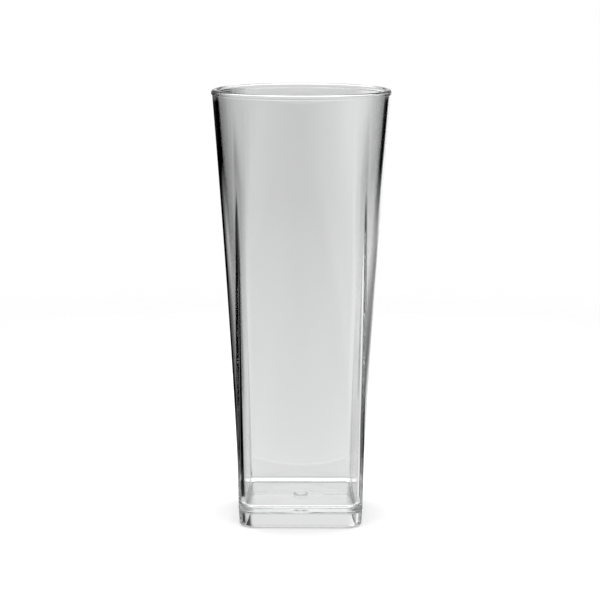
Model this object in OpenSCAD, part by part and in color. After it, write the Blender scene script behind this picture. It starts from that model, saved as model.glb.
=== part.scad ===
// Long-drink tumbler of clear moulded plastic.
// A round mouth runs down into a rounded square foot, and the floor stands on a hollow skirt.
// The tumbler is one moulding. Its lip, wall, floor, gate mark and skirt are separate solids
// that meet face to face at the moulding's own edges.
// Millimetres, +Z up, origin at the centre of the foot on the table.

/* [Mouth] */
// Outside diameter of the lip
mouth_d = 70.4; // [64:0.2:76]
// Height of the lip band
lip_h = 2; // [2:0.1:3]
// How far the lip stands out beyond the line of the wall
lip_proud = 0.2; // [0.1:0.05:0.3]
// Rounding of the lip's lower outer edge
lip_edge_r = 0.3; // [0.1:0.05:0.3]

/* [Body] */
// Height from the table to the top of the lip
height = 170; // [150:1:190]
// Thickness of the wall
wall_t = 2.2; // [1.6:0.1:2.6]
// How far the middle of a side lies inside a straight line from foot to mouth
side_bow = 0.64; // [0:0.02:1.5]
// How far the corners lie inside a straight line from the floor to the lip, halfway up
corner_bow = 0.25; // [0:0.05:0.4]
// How late the corners soften on the way up: the higher, the nearer to the mouth
corner_softening = 8; // [5:1:12]

/* [Foot] */
// Width of the foot across its flats at the table
foot_w = 48; // [44:1:54]
// Corner radius of the foot at the table
foot_corner_r = 6.3; // [5:0.1:10]
// Rounding of the outer edge under the foot
foot_edge_r = 1; // [0.4:0.1:1.4]
// Height of the floor's upper face above the table
floor_z = 7.6; // [6.8:0.1:12]
// Thickness of the floor
floor_t = 2; // [1.4:0.1:2.4]
// How far the fine ridge at the mould's parting line stands out, level with the floor
ridge_r = 0.15; // [0.1:0.05:0.3]

/* [Gate mark] */
// Diameter of the low button where the plastic entered the mould
gate_d = 5.6; // [3:0.2:8]
// Height of the button above the floor
gate_h = 0.9; // [0.5:0.1:1]
// Rounding of the button's upper edge
gate_edge_r = 0.4; // [0.2:0.1:0.4]

/* [Smoothness] */
// Steps along each side of the wall
side_steps = 12; // [8:1:16]
// Steps round each corner of the wall
corner_steps = 8; // [6:1:12]
// Steps up the wall
wall_steps = 14; // [8:1:18]

/* [Hidden] */
$fn = 96;

lip_z = height - lip_h;
skirt_h = floor_z - floor_t;

// Half the width across the flats at height z: a straight flare less a shallow bow
function half_width(z) =
    let (up = z / height)
    foot_w / 2 + (mouth_d / 2 - lip_proud - foot_w / 2) * up - 4 * side_bow * up * (1 - up);

// Sideways lean of the foot's faces, per millimetre of height
foot_lean = (half_width(floor_z) - foot_w / 2) / floor_z;

// Half the length of the foot's straight sides, which is also where its corners are centred
foot_flat = foot_w / 2 - foot_corner_r;

// Corner radius of the foot and floor at height z
function foot_r(z) = foot_corner_r + foot_lean * z;

// Lip
lip_outer_r = mouth_d / 2;
lip_inner_r = half_width(lip_z) - wall_t;
lip_t = lip_outer_r - lip_inner_r;

// Wall
// Each side is an arc, all but flat at the floor and a quarter of the mouth's circle at the lip.
// The sides meet at rounded corners, which stay tight low down and soften towards the mouth.
least_bulge = 0.01;
soft_corner_r = 0.97 * half_width(lip_z);

// Corner radius of the wall at height z
function wall_corner_r(z) =
    let (up = (z - floor_z) / (lip_z - floor_z))
    foot_r(floor_z) + (soft_corner_r - foot_r(floor_z)) * pow(up, corner_softening);

// How far along X and Y from the axis two sides would meet at height z, were the corner sharp
function side_end(z) =
    let (up = (z - floor_z) / (lip_z - floor_z))
    half_width(floor_z) + (half_width(lip_z) / sqrt(2) - half_width(floor_z)) * up
        - 4 * corner_bow * up * (1 - up);

// Radius of the arc that a side follows at height z
function side_r(z) =
    let (
        end = side_end(z),
        bulge = max(least_bulge, half_width(z) - end)
    )
    (end * end + bulge * bulge) / (2 * bulge);

// How far along X and Y from the axis a corner's rounding is centred at height z
function corner_centre(z) =
    let (
        drop = side_r(z) - half_width(z),
        arm = side_r(z) - wall_corner_r(z)
    )
    (sqrt(2 * arm * arm - drop * drop) - drop) / 2;

// Reach of the wall from the axis at height z, off degrees away from the middle of a side,
// set in from the outer face by inset
function wall_reach(z, off, inset) =
    let (
        r = side_r(z) - inset,
        drop = side_r(z) - half_width(z),
        centre = corner_centre(z),
        corner = wall_corner_r(z),
        turn = asin(centre / (side_r(z) - corner)),
        arc_end = atan2(r * sin(turn), r * cos(turn) - drop),
        away = sqrt(2) * centre
    )
    off <= arc_end
        ? sqrt(pow(r, 2) - pow(drop * sin(off), 2)) - drop * cos(off)
        : sqrt(pow(corner - inset, 2) - pow(away * sin(45 - off), 2)) + away * cos(45 - off);

// Bearings of the points in one quarter of a ring, closest together at the corner
flat_angle = atan(2 * foot_flat / foot_w);
quarter_angles = concat(
    [for (step = [0 : side_steps - 1]) flat_angle * (2 * step / side_steps - 1)],
    [for (step = [0 : corner_steps - 1]) flat_angle + (90 - 2 * flat_angle) * step / corner_steps]
);
ring_points = 4 * len(quarter_angles);

// One ring of the wall at height z, set in from the outer face by inset
function wall_ring(z, inset) = [
    for (quarter = [0 : 3])
        for (angle = quarter_angles)
            let (
                reach = wall_reach(z, min(abs(angle), 90 - angle), inset),
                bearing = angle + 90 * quarter
            )
            [reach * cos(bearing), reach * sin(bearing), z]
];

// All the rings from the floor to the lip
function wall_rings(inset) = [
    for (k = [0 : wall_steps])
        each wall_ring(floor_z + (lip_z - floor_z) * k / wall_steps, inset)
];

// Two triangles for each cell of a closed strip between the rings that start at points low and high
function strip(low, high) = [
    for (i = [0 : ring_points - 1])
        let (next = (i + 1) % ring_points)
        each [
            [low + i, high + i, high + next],
            [low + i, high + next, low + next]
        ]
];

// Sweeps a wall profile, drawn outwards from a corner's centre, round a rounded square
module round_square_sweep(flat) {
    for (quarter = [0 : 3]) {
        rotate([0, 0, 90 * quarter])
            translate([flat, flat, 0]) {
                rotate_extrude(angle = 90)
                    children();
                rotate([90, 0, 0])
                    linear_extrude(2 * flat)
                        children();
            }
    }
}

// Band with a full round on top and a soft lower edge, at the mouth
module lip_ring() {
    color([0.86, 0.87, 0.88, 0.5])
        translate([0, 0, lip_z])
            rotate_extrude()
                translate([lip_inner_r, 0])
                    union() {
                        square([lip_t - lip_edge_r, lip_h - lip_t / 2]);
                        translate([lip_t - lip_edge_r, lip_edge_r])
                            square([lip_edge_r, lip_h - lip_t / 2 - lip_edge_r]);
                        intersection() {
                            translate([lip_t - lip_edge_r, lip_edge_r])
                                circle(lip_edge_r);
                            translate([lip_t - lip_edge_r, 0])
                                square(lip_edge_r);
                        }
                        intersection() {
                            translate([lip_t / 2, lip_h - lip_t / 2])
                                circle(lip_t / 2);
                            translate([0, lip_h - lip_t / 2])
                                square([lip_t, lip_t / 2]);
                        }
                    }
}

// Flared wall, a rounded square at the floor whose sides swell to a circle at the lip
module body_wall() {
    inner = (wall_steps + 1) * ring_points;
    top = wall_steps * ring_points;
    color([0.80, 0.81, 0.82, 0.4])
        polyhedron(
            points = concat(wall_rings(0), wall_rings(wall_t)),
            faces = concat(
                [for (k = [0 : wall_steps - 1]) each strip(k * ring_points, (k + 1) * ring_points)],
                [for (k = [0 : wall_steps - 1])
                    each strip(inner + (k + 1) * ring_points, inner + k * ring_points)],
                strip(top, inner + top),
                strip(inner, 0)
            )
        );
}

// Plate under the drink, out to the tumbler's outer face, with the parting ridge round its edge
module floor_plate() {
    low_r = foot_r(skirt_h);
    high_r = foot_r(floor_z);
    color([0.88, 0.89, 0.90, 0.5])
        translate([0, 0, skirt_h]) {
            translate([-foot_flat, -foot_flat, 0])
                cube([2 * foot_flat, 2 * foot_flat, floor_t]);
            round_square_sweep(foot_flat)
                union() {
                    polygon([[0, 0], [low_r, 0], [high_r, floor_t], [0, floor_t]]);
                    translate([(low_r + high_r) / 2, floor_t / 2])
                        circle(ridge_r);
                }
        }
}

// Low flat button with a rounded edge at the middle of the floor
module gate_pip() {
    flat_r = gate_d / 2 - gate_edge_r;
    side_h = gate_h - gate_edge_r;
    color([0.70, 0.71, 0.72, 0.6])
        translate([0, 0, floor_z])
            rotate_extrude()
                union() {
                    square([gate_d / 2, side_h]);
                    square([flat_r, gate_h]);
                    translate([flat_r, side_h])
                        intersection() {
                            circle(gate_edge_r);
                            square(gate_edge_r);
                        }
                }
}

// Hollow skirt that the floor stands on, open underneath
module foot_skirt() {
    low_r = foot_r(0);
    high_r = foot_r(skirt_h);
    lean_angle = atan(foot_lean);
    // Centre of the edge rounding, which is tangent to the table and to the leaning side
    edge_x = low_r + foot_lean * foot_edge_r - foot_edge_r / cos(lean_angle);
    reach = 2 * foot_edge_r;
    color([0.76, 0.77, 0.78, 0.5])
        round_square_sweep(foot_flat)
            difference() {
                polygon([[low_r - wall_t, 0], [low_r, 0], [high_r, skirt_h], [high_r - wall_t, skirt_h]]);
                translate([edge_x, foot_edge_r])
                    difference() {
                        polygon([
                            [0, 0],
                            [0, -reach],
                            [reach, -reach],
                            [reach * cos(lean_angle), -reach * sin(lean_angle)]
                        ]);
                        circle(foot_edge_r);
                    }
            }
}

lip_ring();
body_wall();
floor_plate();
gate_pip();
foot_skirt();
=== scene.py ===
import math

import bpy
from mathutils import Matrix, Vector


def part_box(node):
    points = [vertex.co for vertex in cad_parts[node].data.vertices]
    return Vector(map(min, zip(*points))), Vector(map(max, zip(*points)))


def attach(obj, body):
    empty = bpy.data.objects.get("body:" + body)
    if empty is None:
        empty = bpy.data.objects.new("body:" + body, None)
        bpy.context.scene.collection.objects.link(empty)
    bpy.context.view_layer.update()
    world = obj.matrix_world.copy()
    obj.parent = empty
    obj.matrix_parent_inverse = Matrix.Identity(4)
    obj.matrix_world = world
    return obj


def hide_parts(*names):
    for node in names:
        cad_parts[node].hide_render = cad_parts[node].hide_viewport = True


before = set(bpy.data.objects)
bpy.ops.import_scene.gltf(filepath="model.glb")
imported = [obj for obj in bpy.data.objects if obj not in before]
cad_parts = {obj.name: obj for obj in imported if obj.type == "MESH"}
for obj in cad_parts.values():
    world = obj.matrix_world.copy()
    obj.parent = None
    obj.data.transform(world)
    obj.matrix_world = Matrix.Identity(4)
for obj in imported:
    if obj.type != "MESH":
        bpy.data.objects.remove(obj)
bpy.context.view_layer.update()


# Foot skirt
# The hollow rounded square skirt that the tumbler stands on, moulded in one with the rest.
# Its bearing rim is narrow, with a soft outer edge, and the recess inside it is open below.

MM = 0.001
QUARTER_TURN = math.pi / 2

skirt_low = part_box("foot_skirt")[0]
floor_low, floor_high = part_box("floor_plate")
lip_low, lip_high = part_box("lip_ring")

TABLE_Z = skirt_low.z
FLOOR_UNDER_Z = floor_low.z
FLOOR_TOP_Z = floor_high.z
LIP_Z = lip_low.z
TOP_Z = lip_high.z

WALL_T = 2.2 * MM
FOOT_HALF = 24 * MM
FOOT_CORNER = 6.3 * MM
FLARE_R = 35 * MM
SIDE_BOW = 0.64 * MM
# A side is never quite flat, so that it always has an arc to follow
LEAST_BULGE = 0.002 * MM

FOOT_EDGE = 1.0 * MM
RIM_INNER_EDGE = 0.35 * MM
RECESS_FILLET = 0.5 * MM
RIDGE_R = 0.15 * MM
RIDGE_Z = (FLOOR_UNDER_Z + FLOOR_TOP_Z) / 2
# How near to an edge a ring lies that keeps the edge crisp
HOLD = 0.04 * MM

SIDE_STEPS = 40
CORNER_STEPS = 48
ROUND_STEPS = 8
SKIRT_STEPS = 6
# Where the rings in the recess's roof lie, from the middle out to the fillet
RECESS_SHARES = (0.01, 0.25, 0.5, 0.75, 0.9, 0.985)

flat_end = math.atan((FOOT_HALF - FOOT_CORNER) / FOOT_HALF)
bearings = []
for quarter in range(4):
    side_middle = quarter * QUARTER_TURN
    for step in range(SIDE_STEPS):
        bearings.append(side_middle - flat_end + 2 * flat_end * step / SIDE_STEPS)
    for step in range(CORNER_STEPS):
        bearings.append(side_middle + flat_end + (QUARTER_TURN - 2 * flat_end) * step / CORNER_STEPS)


# Half the width across the flats at height z: a straight flare less a shallow bow
def half_width(z):
    up = z / TOP_Z
    return FOOT_HALF + (FLARE_R - FOOT_HALF) * up - 4 * SIDE_BOW * up * (1 - up)


# A ring of four arcs that stand half from the axis and would meet at sharp, were the corners not rounded
def ring(z, half, sharp, corner, inset=0.0, scale=1.0):
    bulge = max(half - sharp, LEAST_BULGE)
    side = (sharp ** 2 + bulge ** 2) / (2 * bulge)
    drop = side - half
    to_corner = side - corner
    corner_at = (math.sqrt(2 * to_corner ** 2 - drop ** 2) - drop) / 2
    corner_away = math.sqrt(2) * corner_at
    corner_r = corner - inset
    turn = math.asin(corner_at / to_corner)
    side_end = math.atan2(corner_at + corner_r * math.sin(turn), corner_at + corner_r * math.cos(turn))
    points = []
    for bearing in bearings:
        off_middle = abs(math.remainder(bearing, QUARTER_TURN))
        if off_middle <= side_end:
            aside = drop * math.sin(off_middle)
            reach = math.sqrt((side - inset) ** 2 - aside ** 2) - drop * math.cos(off_middle)
        else:
            off_corner = QUARTER_TURN / 2 - off_middle
            aside = corner_away * math.sin(off_corner)
            reach = math.sqrt(corner_r ** 2 - aside ** 2) + corner_away * math.cos(off_corner)
        points.append((scale * reach * math.cos(bearing), scale * reach * math.sin(bearing), z))
    return points


# A ring of the foot, whose sides are straight
def foot_ring(z, inset, scale=1.0):
    half = half_width(z)
    return ring(z, half, half, FOOT_CORNER + half - FOOT_HALF, inset, scale)


# Rings along a rounded edge, from start to end in degrees, where 0 faces out and 90 faces up
def arc(make, centre_z, centre_inset, radius, start, end, steps=ROUND_STEPS):
    made = []
    for step in range(steps + 1):
        angle = math.radians(start + (end - start) * step / steps)
        made.append(make(centre_z + radius * math.sin(angle), centre_inset - radius * math.cos(angle)))
    return made


side_low_z = TABLE_Z + FOOT_EDGE
side_high_z = RIDGE_Z - RIDGE_R

foot_rings = []
for share in RECESS_SHARES:
    foot_rings.append(foot_ring(FLOOR_UNDER_Z, WALL_T + RECESS_FILLET, share))
foot_rings += arc(foot_ring, FLOOR_UNDER_Z - RECESS_FILLET, WALL_T + RECESS_FILLET, RECESS_FILLET, 90, 0)
foot_rings += arc(foot_ring, TABLE_Z + RIM_INNER_EDGE, WALL_T - RIM_INNER_EDGE, -RIM_INNER_EDGE, 0, 90)
foot_rings += arc(foot_ring, side_low_z, FOOT_EDGE, FOOT_EDGE, -90, 0)
for step in range(1, SKIRT_STEPS):
    foot_rings.append(foot_ring(side_low_z + (side_high_z - side_low_z) * step / SKIRT_STEPS, 0))
foot_rings.append(foot_ring(side_high_z - HOLD, 0))
foot_rings += arc(foot_ring, RIDGE_Z, 0, RIDGE_R, -90, 90)
foot_rings.append(foot_ring(RIDGE_Z + RIDGE_R + HOLD, 0))


# Body wall
# The flared wall. Its four sides bulge more and more from the floor up, until they make a circle at the
# mouth. Clear plastic of one even thickness, polished by the mould inside and out.

WALL_STEPS = 60
FLOOR_FILLET = 2.1 * MM

CORNER_BOW = 0.25 * MM
# How late the corners soften on the way up, and how far: a share of the mouth's radius
CORNER_SOFTENING = 8
SOFT_SHARE = 0.97

floor_half = half_width(FLOOR_TOP_Z)
floor_corner = FOOT_CORNER + floor_half - FOOT_HALF
wall_top_r = half_width(LIP_Z)
soft_corner = SOFT_SHARE * wall_top_r
wall_foot_z = FLOOR_TOP_Z + FLOOR_FILLET


# A ring of the wall, a rounded square low down and a circle at the lip
def wall_ring(z, inset):
    up = max(0.0, (z - FLOOR_TOP_Z) / (LIP_Z - FLOOR_TOP_Z))
    sharp = floor_half + (wall_top_r / math.sqrt(2) - floor_half) * up - 4 * CORNER_BOW * up * (1 - up)
    corner = floor_corner + (soft_corner - floor_corner) * up ** CORNER_SOFTENING
    return ring(z, half_width(z), sharp, corner, inset)


outer_rings = []
inner_rings = []
for step in range(WALL_STEPS):
    way = step / WALL_STEPS
    outer_rings.append(wall_ring(FLOOR_TOP_Z + (LIP_Z - FLOOR_TOP_Z) * way, 0))
    inner_rings.append(wall_ring(LIP_Z + (wall_foot_z - LIP_Z) * way, WALL_T))


# Lip
# The band at the mouth, of the same clear plastic and moulded in one with the wall, a little proud of it.
# It is the edge that one drinks from, so it has a full round on top and no sharp corner.

LIP_EDGE = 0.3 * MM
LIP_STEPS = 24

lip_outer = lip_high.x
lip_inner = wall_top_r - WALL_T
lip_half_t = (lip_outer - lip_inner) / 2
crest_z = TOP_Z - lip_half_t


# A ring that is a plain circle
def round_ring(z, radius):
    points = []
    for bearing in bearings:
        points.append((radius * math.cos(bearing), radius * math.sin(bearing), z))
    return points


# A ring of the lip
def lip_ring(z, inset):
    return round_ring(z, lip_outer - inset)


lip_rings = [wall_ring(LIP_Z - HOLD, 0), round_ring(LIP_Z, wall_top_r)]
lip_rings += arc(lip_ring, LIP_Z + LIP_EDGE, LIP_EDGE, LIP_EDGE, -90, 0)
lip_rings += arc(lip_ring, crest_z, lip_half_t, lip_half_t, 0, 180, LIP_STEPS)


# Floor and gate mark
# The plate under the drink, of the same clear plastic, joined to the wall by a soft fillet.
# At its middle is the low button where the melted plastic entered the mould.

gate_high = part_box("gate_pip")[1]
GATE_R = gate_high.x
GATE_TOP_Z = gate_high.z
GATE_EDGE = 0.4 * MM
GATE_APRON = 0.16 * MM
# Where the rings lie in the floor and on top of the button, as shares of the way out from the middle
FLOOR_SHARES = (0.97, 0.9, 0.75, 0.5, 0.3)
GATE_SHARES = (0.98, 0.6, 0.2)


# A ring of the button
def gate_ring(z, inset):
    return round_ring(z, GATE_R - inset)


floor_rings = arc(wall_ring, wall_foot_z, WALL_T + FLOOR_FILLET, FLOOR_FILLET, 0, -90)
for share in FLOOR_SHARES:
    floor_rings.append(foot_ring(FLOOR_TOP_Z, WALL_T + FLOOR_FILLET, share))
floor_rings.append(gate_ring(FLOOR_TOP_Z, -GATE_APRON))
floor_rings.append(gate_ring(FLOOR_TOP_Z, -HOLD))
floor_rings.append(gate_ring(FLOOR_TOP_Z + HOLD, 0))
floor_rings += arc(gate_ring, GATE_TOP_Z - GATE_EDGE, GATE_EDGE, GATE_EDGE, 0, 90)
for share in GATE_SHARES:
    floor_rings.append(round_ring(GATE_TOP_Z, (GATE_R - GATE_EDGE) * share))


# Moulding
# All the zones above are one piece of clear plastic, so they are one closed skin. The polish has a faint
# ripple that runs up the wall with the flow of the melt, and use has scuffed the standing rim and the lip.

PLASTIC_IOR = 1.585
TINT = (0.8, 0.84, 0.82, 1)
TINT_DENSITY = 6
RIPPLE_WIDTH = 14 * MM
RIPPLE_LENGTH = 60 * MM
RIPPLE_DEPTH = 0.08 * MM
CLEAR = (1.0, 1.0, 1.0, 1)
HAZY = (0.975, 0.98, 0.98, 1)
SCUFF_SIZE = 0.9 * MM
SCUFF_ROUGHNESS = 0.3
RIM_SCUFFED_TO = 1.2 * MM
RIM_WEAR = 1.0
LIP_SCUFFED_FROM = 1.0 * MM
LIP_WEAR = 0.2

profile = foot_rings + outer_rings + lip_rings + inner_rings + floor_rings
around = len(bearings)
points = []
for ring_of_points in profile:
    points += ring_of_points

faces = []
for row in range(len(profile) - 1):
    low = row * around
    high = low + around
    for i in range(around):
        j = (i + 1) % around
        faces.append((low + i, low + j, high + j, high + i))
under_middle = len(points)
points.append((0, 0, FLOOR_UNDER_Z))
gate_top = len(points)
points.append((0, 0, GATE_TOP_Z))
last_row = (len(profile) - 1) * around
for i in range(around):
    j = (i + 1) % around
    faces.append((under_middle, j, i))
    faces.append((gate_top, last_row + i, last_row + j))

mesh = bpy.data.meshes.new("tumbler")
mesh.from_pydata(points, [], faces)
mesh.validate()
mesh.shade_smooth()
tumbler = bpy.data.objects.new("tumbler", mesh)
scene = bpy.context.scene
scene.collection.objects.link(tumbler)

plastic = bpy.data.materials.new("clear_plastic")
plastic.use_nodes = True
nodes = plastic.node_tree.nodes
links = plastic.node_tree.links


# Adds a node to the finish that is being made
def node(kind, **settings):
    made = nodes.new(kind)
    for name, value in settings.items():
        setattr(made, name, value)
    return made


# Works on values that are numbers or come from other nodes
def worked(operation, *values):
    step = node("ShaderNodeMath", operation=operation)
    for socket, value in zip(step.inputs, values):
        if isinstance(value, float):
            socket.default_value = value
        else:
            links.new(value, socket)
    return step.outputs["Value"]


# Rises from to_low to to_high while a value goes from from_low to from_high
def ramp(value, from_low, from_high, to_low=0.0, to_high=1.0, **settings):
    rise = node("ShaderNodeMapRange", **settings)
    rise.inputs["From Min"].default_value = from_low
    rise.inputs["From Max"].default_value = from_high
    rise.inputs["To Min"].default_value = to_low
    rise.inputs["To Max"].default_value = to_high
    links.new(value, rise.inputs["Value"])
    return rise.outputs["Result"]


shader = nodes["Principled BSDF"]
shader.inputs["Transmission Weight"].default_value = 1
shader.inputs["IOR"].default_value = PLASTIC_IOR
tint = node("ShaderNodeVolumeAbsorption")
tint.inputs["Color"].default_value = TINT
tint.inputs["Density"].default_value = TINT_DENSITY
links.new(tint.outputs["Volume"], nodes["Material Output"].inputs["Volume"])

place = node("ShaderNodeTexCoord").outputs["Object"]
flow = node("ShaderNodeMapping")
flow.inputs["Scale"].default_value = (1 / RIPPLE_WIDTH, 1 / RIPPLE_WIDTH, 1 / RIPPLE_LENGTH)
links.new(place, flow.inputs["Vector"])
ripple = node("ShaderNodeTexNoise")
ripple.inputs["Scale"].default_value = 1
ripple.inputs["Detail"].default_value = 1
links.new(flow.outputs["Vector"], ripple.inputs["Vector"])
bump = node("ShaderNodeBump")
bump.inputs["Distance"].default_value = RIPPLE_DEPTH
links.new(ripple.outputs["Fac"], bump.inputs["Height"])
links.new(bump.outputs["Normal"], shader.inputs["Normal"])
haze = node("ShaderNodeValToRGB")
haze.color_ramp.elements[0].color = CLEAR
haze.color_ramp.elements[1].color = HAZY
links.new(ripple.outputs["Fac"], haze.inputs["Fac"])
links.new(haze.outputs["Color"], shader.inputs["Base Color"])

height = node("ShaderNodeSeparateXYZ")
links.new(place, height.inputs["Vector"])
rim_wear = ramp(height.outputs["Z"], TABLE_Z + RIM_SCUFFED_TO, TABLE_Z, to_high=RIM_WEAR)
lip_wear = ramp(height.outputs["Z"], TOP_Z - LIP_SCUFFED_FROM, TOP_Z, to_high=LIP_WEAR)
scuffs = node("ShaderNodeTexNoise")
scuffs.inputs["Scale"].default_value = 1 / SCUFF_SIZE
links.new(place, scuffs.inputs["Vector"])
scuffed = worked("MULTIPLY", worked("MAXIMUM", rim_wear, lip_wear), scuffs.outputs["Fac"])
links.new(worked("MULTIPLY", scuffed, SCUFF_ROUGHNESS), shader.inputs["Roughness"])
mesh.materials.append(plastic)

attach(tumbler, "root")
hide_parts("lip_ring", "body_wall", "floor_plate", "gate_pip", "foot_skirt")


# Floor of the studio
# A plain disc of pale matt paper that the tumbler stands on, laid a hair below its foot. It glows a little
# and fades out towards its edge into the pale surround, and it isn't seen through the plastic.

FLOOR_R = 0.6
FLOOR_POINTS = 128
FLOOR_GAP = 0.2 * MM
FADE_START = 0.18
FADE_END = 0.58
PAPER_ROUGHNESS = 0.9
PAPER_SHINE = 0.0
PAPER_GLOW = 0.2
GLOW_WHITE = (1, 1, 1, 1)
GRAIN_SIZE = 1.5 * MM
PAPER_PALE = (0.94, 0.94, 0.94, 1)
PAPER_DULL = (0.90, 0.90, 0.90, 1)

bpy.ops.mesh.primitive_circle_add(
    vertices=FLOOR_POINTS, radius=FLOOR_R, fill_type="NGON", location=(0, 0, TABLE_Z - FLOOR_GAP)
)
floor = bpy.context.object
floor.name = "studio_floor"
floor.visible_transmission = False
floor.visible_glossy = False

paper = bpy.data.materials.new("pale_paper")
paper.use_nodes = True
nodes = paper.node_tree.nodes
links = paper.node_tree.links
shader = nodes["Principled BSDF"]
shader.inputs["Roughness"].default_value = PAPER_ROUGHNESS
shader.inputs["Specular IOR Level"].default_value = PAPER_SHINE
shader.inputs["Emission Color"].default_value = GLOW_WHITE
shader.inputs["Emission Strength"].default_value = PAPER_GLOW
place = node("ShaderNodeTexCoord").outputs["Object"]
from_middle = node("ShaderNodeVectorMath", operation="LENGTH")
links.new(place, from_middle.inputs[0])
fade = ramp(from_middle.outputs["Value"], FADE_START, FADE_END, 1, 0, interpolation_type="SMOOTHSTEP")
links.new(fade, shader.inputs["Alpha"])
grain = node("ShaderNodeTexNoise")
grain.inputs["Scale"].default_value = 1 / GRAIN_SIZE
links.new(place, grain.inputs["Vector"])
fibre = node("ShaderNodeValToRGB")
fibre.color_ramp.elements[0].color = PAPER_DULL
fibre.color_ramp.elements[1].color = PAPER_PALE
links.new(grain.outputs["Fac"], fibre.inputs["Fac"])
links.new(fibre.outputs["Color"], shader.inputs["Base Color"])
floor.data.materials.append(paper)


# Studio light
# Rings of pale panels and black boards round the tumbler, which draw its dark edges. Which ring shows
# depends on whether the light came through the whole body, through one wall or a mirror, or was trapped.
# The camera and the paper see none of them, only a plain white surround.

# Each ring's stops: a bearing in degrees, 0 behind the tumbler and 90 to its right, and the level there
FOOT = [
    (-180, 0.90), (-130, 0.90), (-100, 0.0), (-20, 0.0), (-10, 0.75), (20, 0.75), (28, 0.0), (38, 0.0),
    (52, 0.85), (90, 0.90), (115, 0.65), (155, 0.65), (180, 0.90),
]
BODY_LOW = [
    (-180, 0.90), (-130, 0.90), (-100, 0.0), (-40, 0.0), (-26, 0.55), (-16, 0.60), (-10, 0.80), (6, 0.80),
    (40, 0.30), (90, 0.90), (115, 0.65), (155, 0.65), (180, 0.90),
]
BODY_MIDDLE = [
    (-180, 0.90), (-125, 0.90), (-60, 0.10), (-26, 0.45), (-5, 0.72), (0, 0.65), (5, 0.80), (16, 0.76),
    (42, 0.35), (60, 0.75), (80, 1.20), (100, 1.20), (115, 0.60), (155, 0.60), (180, 0.90),
]
BODY_HIGH = [
    (-180, 0.75), (-75, 0.65), (-60, 0.30), (-26, 0.28), (-13, 0.30), (-9, 0.46), (-3, 0.60), (0, 0.56),
    (4, 0.75), (7, 0.68), (11, 0.48), (18, 0.35), (42, 0.40), (65, 0.80), (115, 1.0), (150, 0.75),
    (180, 0.75),
]
EDGE_LOW = [
    (-180, 0.90), (-130, 0.90), (-115, 0.0), (-32, 0.0), (-24, 0.40), (-18, 0.45), (-15, 0.0), (-6, 0.0),
    (-4, 0.75), (14, 0.85), (22, 0.0), (46, 0.0), (58, 0.80), (120, 1.0), (180, 0.90),
]
EDGE_MIDDLE = [
    (-180, 0.90), (-125, 0.90), (-75, 0.0), (-40, 0.0), (-35, 0.50), (-28, 0.50), (-21, 0.0), (-5, 0.0),
    (-3.5, 0.67), (3, 0.67), (6, 1.20), (12, 1.20), (16, 0.30), (21, 0.30), (40, 0.75), (50, 1.10),
    (120, 1.10), (150, 0.90), (180, 0.90),
]
EDGE_HIGH = [
    (-180, 0.75), (-90, 0.55), (-65, 0.30), (-54, 0.30), (-44, 0.0), (-5, 0.0), (-3.5, 0.63), (3, 0.63),
    (6, 1.20), (21, 1.20), (26, 0.0), (35, 0.0), (52, 0.30), (75, 0.75), (115, 1.0), (150, 0.75),
    (180, 0.75),
]
TRAPPED = [
    (-180, 0.0), (-150, 2.0), (-65, 2.0), (-55, 0.0), (180, 0.0),
]
UPPER = [
    (-180, 0.45), (-75, 0.55), (-60, 0.10), (-16, 0.20), (-8, 0.60), (0, 0.95), (8, 0.50), (20, 0.25),
    (40, 0.35), (65, 0.60), (100, 0.60), (180, 0.45),
]

# Levels that are the same all round, and the one that counts as full in the surround's colours
BELOW = 0.55
UNDER = 1.5
TABLE = 0.65
NO_LIGHT = 0.0
OVERHEAD = 0.75
PAPER_LIGHT = 1.3
WHITE = 1.0
BRIGHTEST = 2.0

# Heights in degrees over which one level gives way to the next, from below upwards
BELOW_TO_UNDER = (-74, -66)
UNDER_TO_TABLE = (-38, -29)
TABLE_TO_FOOT = (-19, -16.5)
FOOT_TO_BODY = (-15.2, -14.2)
BODY_LOW_TO_MIDDLE = (-15, -10)
BODY_MIDDLE_TO_HIGH = (-10, -7)
EDGE_LOW_TO_MIDDLE = (-14, -10)
EDGE_MIDDLE_TO_HIGH = (-9.5, -8)
TRAPPED_RISE = (-7.9, -7.3)
BODY_TO_UPPER = (-4, 4)
UPPER_TO_OVERHEAD = (15, 40)

# Light that crossed more faces than this came through the whole body, and light that was turned back more
# often than this was trapped
ONE_WALL_CROSSINGS = 2.5
FREE_TURNS = 1.5

# How many times light is followed from face to face
LIGHT_BOUNCES = 64
PLASTIC_BOUNCES = 48
FADE_BOUNCES = 12

# Sockets of Blender's Mix node that carry colours
MIX_LOW = 6
MIX_HIGH = 7
MIX_RESULT = 2

world = bpy.data.worlds.new("studio")
scene.world = world
world.use_nodes = True
nodes = world.node_tree.nodes
links = world.node_tree.links

direction = node("ShaderNodeSeparateXYZ")
links.new(node("ShaderNodeTexCoord").outputs["Generated"], direction.inputs["Vector"])
bearing = worked("ARCTAN2", direction.outputs["X"], direction.outputs["Y"])
elevation = worked("ARCSINE", direction.outputs["Z"])
way_round = ramp(bearing, -math.pi, math.pi)
path = node("ShaderNodeLightPath")


# A level as a grey of the surround
def grey(level):
    shade = level / BRIGHTEST
    return (shade, shade, shade, 1)


# A ring of panels whose levels run evenly from stop to stop
def panel_ring(stops):
    panels = node("ShaderNodeValToRGB")
    elements = panels.color_ramp.elements
    elements.remove(elements[1])
    for index, (degrees, level) in enumerate(stops):
        spot = (degrees + 180) / 360
        element = elements[0] if index == 0 else elements.new(spot)
        element.position = spot
        element.color = grey(level)
    links.new(way_round, panels.inputs["Fac"])
    return panels.outputs["Color"]


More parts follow.
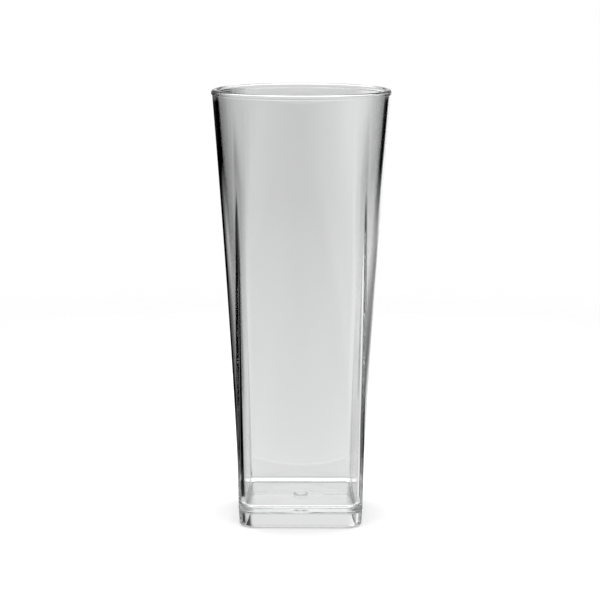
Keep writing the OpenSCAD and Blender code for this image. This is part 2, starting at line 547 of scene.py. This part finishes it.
# Goes from low to high, each a level or a ring of panels, as share goes from 0 to 1
def blend(share, low, high):
    mix = node("ShaderNodeMix", data_type="RGBA")
    links.new(share, mix.inputs["Factor"])
    for socket, value in ((mix.inputs[MIX_LOW], low), (mix.inputs[MIX_HIGH], high)):
        if isinstance(value, float):
            socket.default_value = grey(value)
        else:
            links.new(value, socket)
    return mix.outputs[MIX_RESULT]


# Share of the way up between two heights
def above(heights):
    low, high = heights
    return ramp(elevation, math.radians(low), math.radians(high))


through_body = blend(above(BODY_LOW_TO_MIDDLE), panel_ring(BODY_LOW), panel_ring(BODY_MIDDLE))
through_body = blend(above(BODY_MIDDLE_TO_HIGH), through_body, panel_ring(BODY_HIGH))
in_one_wall = blend(above(EDGE_LOW_TO_MIDDLE), panel_ring(EDGE_LOW), panel_ring(EDGE_MIDDLE))
in_one_wall = blend(above(EDGE_MIDDLE_TO_HIGH), in_one_wall, panel_ring(EDGE_HIGH))
trapped = blend(above(TRAPPED_RISE), NO_LIGHT, panel_ring(TRAPPED))

crossed_body = worked("GREATER_THAN", path.outputs["Transmission Depth"], ONE_WALL_CROSSINGS)
was_trapped = worked("GREATER_THAN", path.outputs["Glossy Depth"], FREE_TURNS)
seen = blend(crossed_body, in_one_wall, through_body)
seen = blend(was_trapped, seen, trapped)
seen = blend(above(BODY_TO_UPPER), seen, panel_ring(UPPER))
seen = blend(above(FOOT_TO_BODY), panel_ring(FOOT), seen)
seen = blend(above(TABLE_TO_FOOT), TABLE, seen)
seen = blend(above(UNDER_TO_TABLE), UNDER, seen)
seen = blend(above(BELOW_TO_UNDER), BELOW, seen)
seen = blend(above(UPPER_TO_OVERHEAD), seen, OVERHEAD)
seen = blend(path.outputs["Is Diffuse Ray"], seen, PAPER_LIGHT)
seen = blend(path.outputs["Is Camera Ray"], seen, WHITE)
links.new(seen, nodes["Background"].inputs["Color"])
nodes["Background"].inputs["Strength"].default_value = BRIGHTEST

scene.view_settings.view_transform = "Standard"
scene.cycles.max_bounces = LIGHT_BOUNCES
scene.cycles.transmission_bounces = PLASTIC_BOUNCES
scene.cycles.glossy_bounces = PLASTIC_BOUNCES
scene.cycles.transparent_max_bounces = FADE_BOUNCES


# Camera
# A long lens at the photograph's height and distance, looking slightly down at the tumbler.
# Its slight turn and roll are those that the photograph was taken with.

CAMERA_AWAY = 0.8485
CAMERA_UP = 0.2313
LOOK_LEVEL = math.radians(90)
LOOK_DOWN = math.radians(9.68)
LOOK_LEFT = math.radians(0.048)
ROLL = math.radians(-0.115)
LENS = 130.37
SENSOR_WIDTH = 36

view = bpy.data.cameras.new("camera")
view.lens = LENS
view.sensor_width = SENSOR_WIDTH
camera = bpy.data.objects.new("camera", view)
camera.location = (0, -CAMERA_AWAY, CAMERA_UP)
camera.rotation_euler = (LOOK_LEVEL - LOOK_DOWN, ROLL, LOOK_LEFT)
scene.collection.objects.link(camera)
scene.camera = camera
